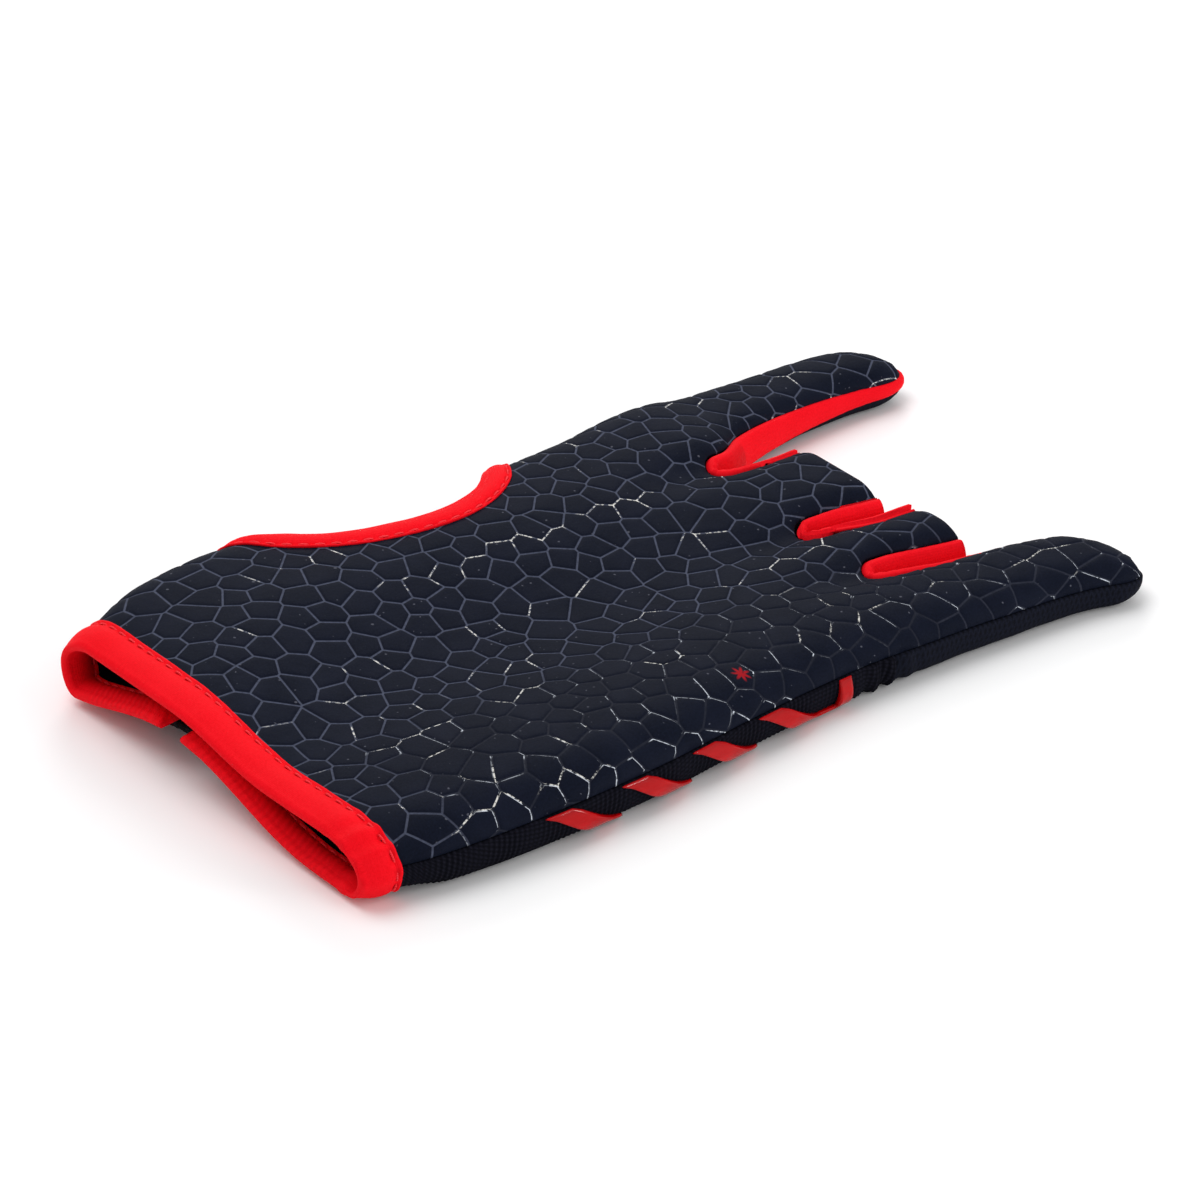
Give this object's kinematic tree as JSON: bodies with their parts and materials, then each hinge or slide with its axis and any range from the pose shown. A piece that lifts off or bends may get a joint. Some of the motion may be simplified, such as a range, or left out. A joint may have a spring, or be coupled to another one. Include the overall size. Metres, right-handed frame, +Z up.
{
  "type": "bowling glove",
  "caption": "Half-finger bowling glove for the left hand, palm up: printed grip palm, ribbed back, red finger gussets, bound wrist and thumb hole.",
  "frame": {"origin": "middle of the glove's footprint, on the surface that it lies on", "axes": "+X from the wrist to the fingertips, +Y from the little finger's side to the thumb's side, +Z up out of the palm"},
  "size_m": [0.2006, 0.1092, 0.017],
  "materials": {
    "printed_palm": "soft matt cloth with a printed grip pattern",
    "ribbed_knit": "matt ribbed knit",
    "smooth_knit": "matt smooth stretch cloth",
    "gusset_cloth": "matt stretch cloth",
    "edge_tape": "woven tape",
    "strap": "matt woven strap",
    "gloss_film": "glossy film"
  },
  "bodies": {
    "root": {"palm_panel": "printed_palm", "back_panel": "ribbed_knit", "little_finger_back": "smooth_knit", "index_finger_back": "smooth_knit", "gusset_index_middle": "gusset_cloth", "gusset_middle_ring": "gusset_cloth", "gusset_ring_little": "gusset_cloth", "wrist_tape": "edge_tape", "thumb_tape": "edge_tape", "closure_strap": "strap", "stripe_1": "gloss_film", "stripe_2": "gloss_film", "stripe_3": "gloss_film", "stripe_4": "gloss_film"}
  },
  "joints": []
}
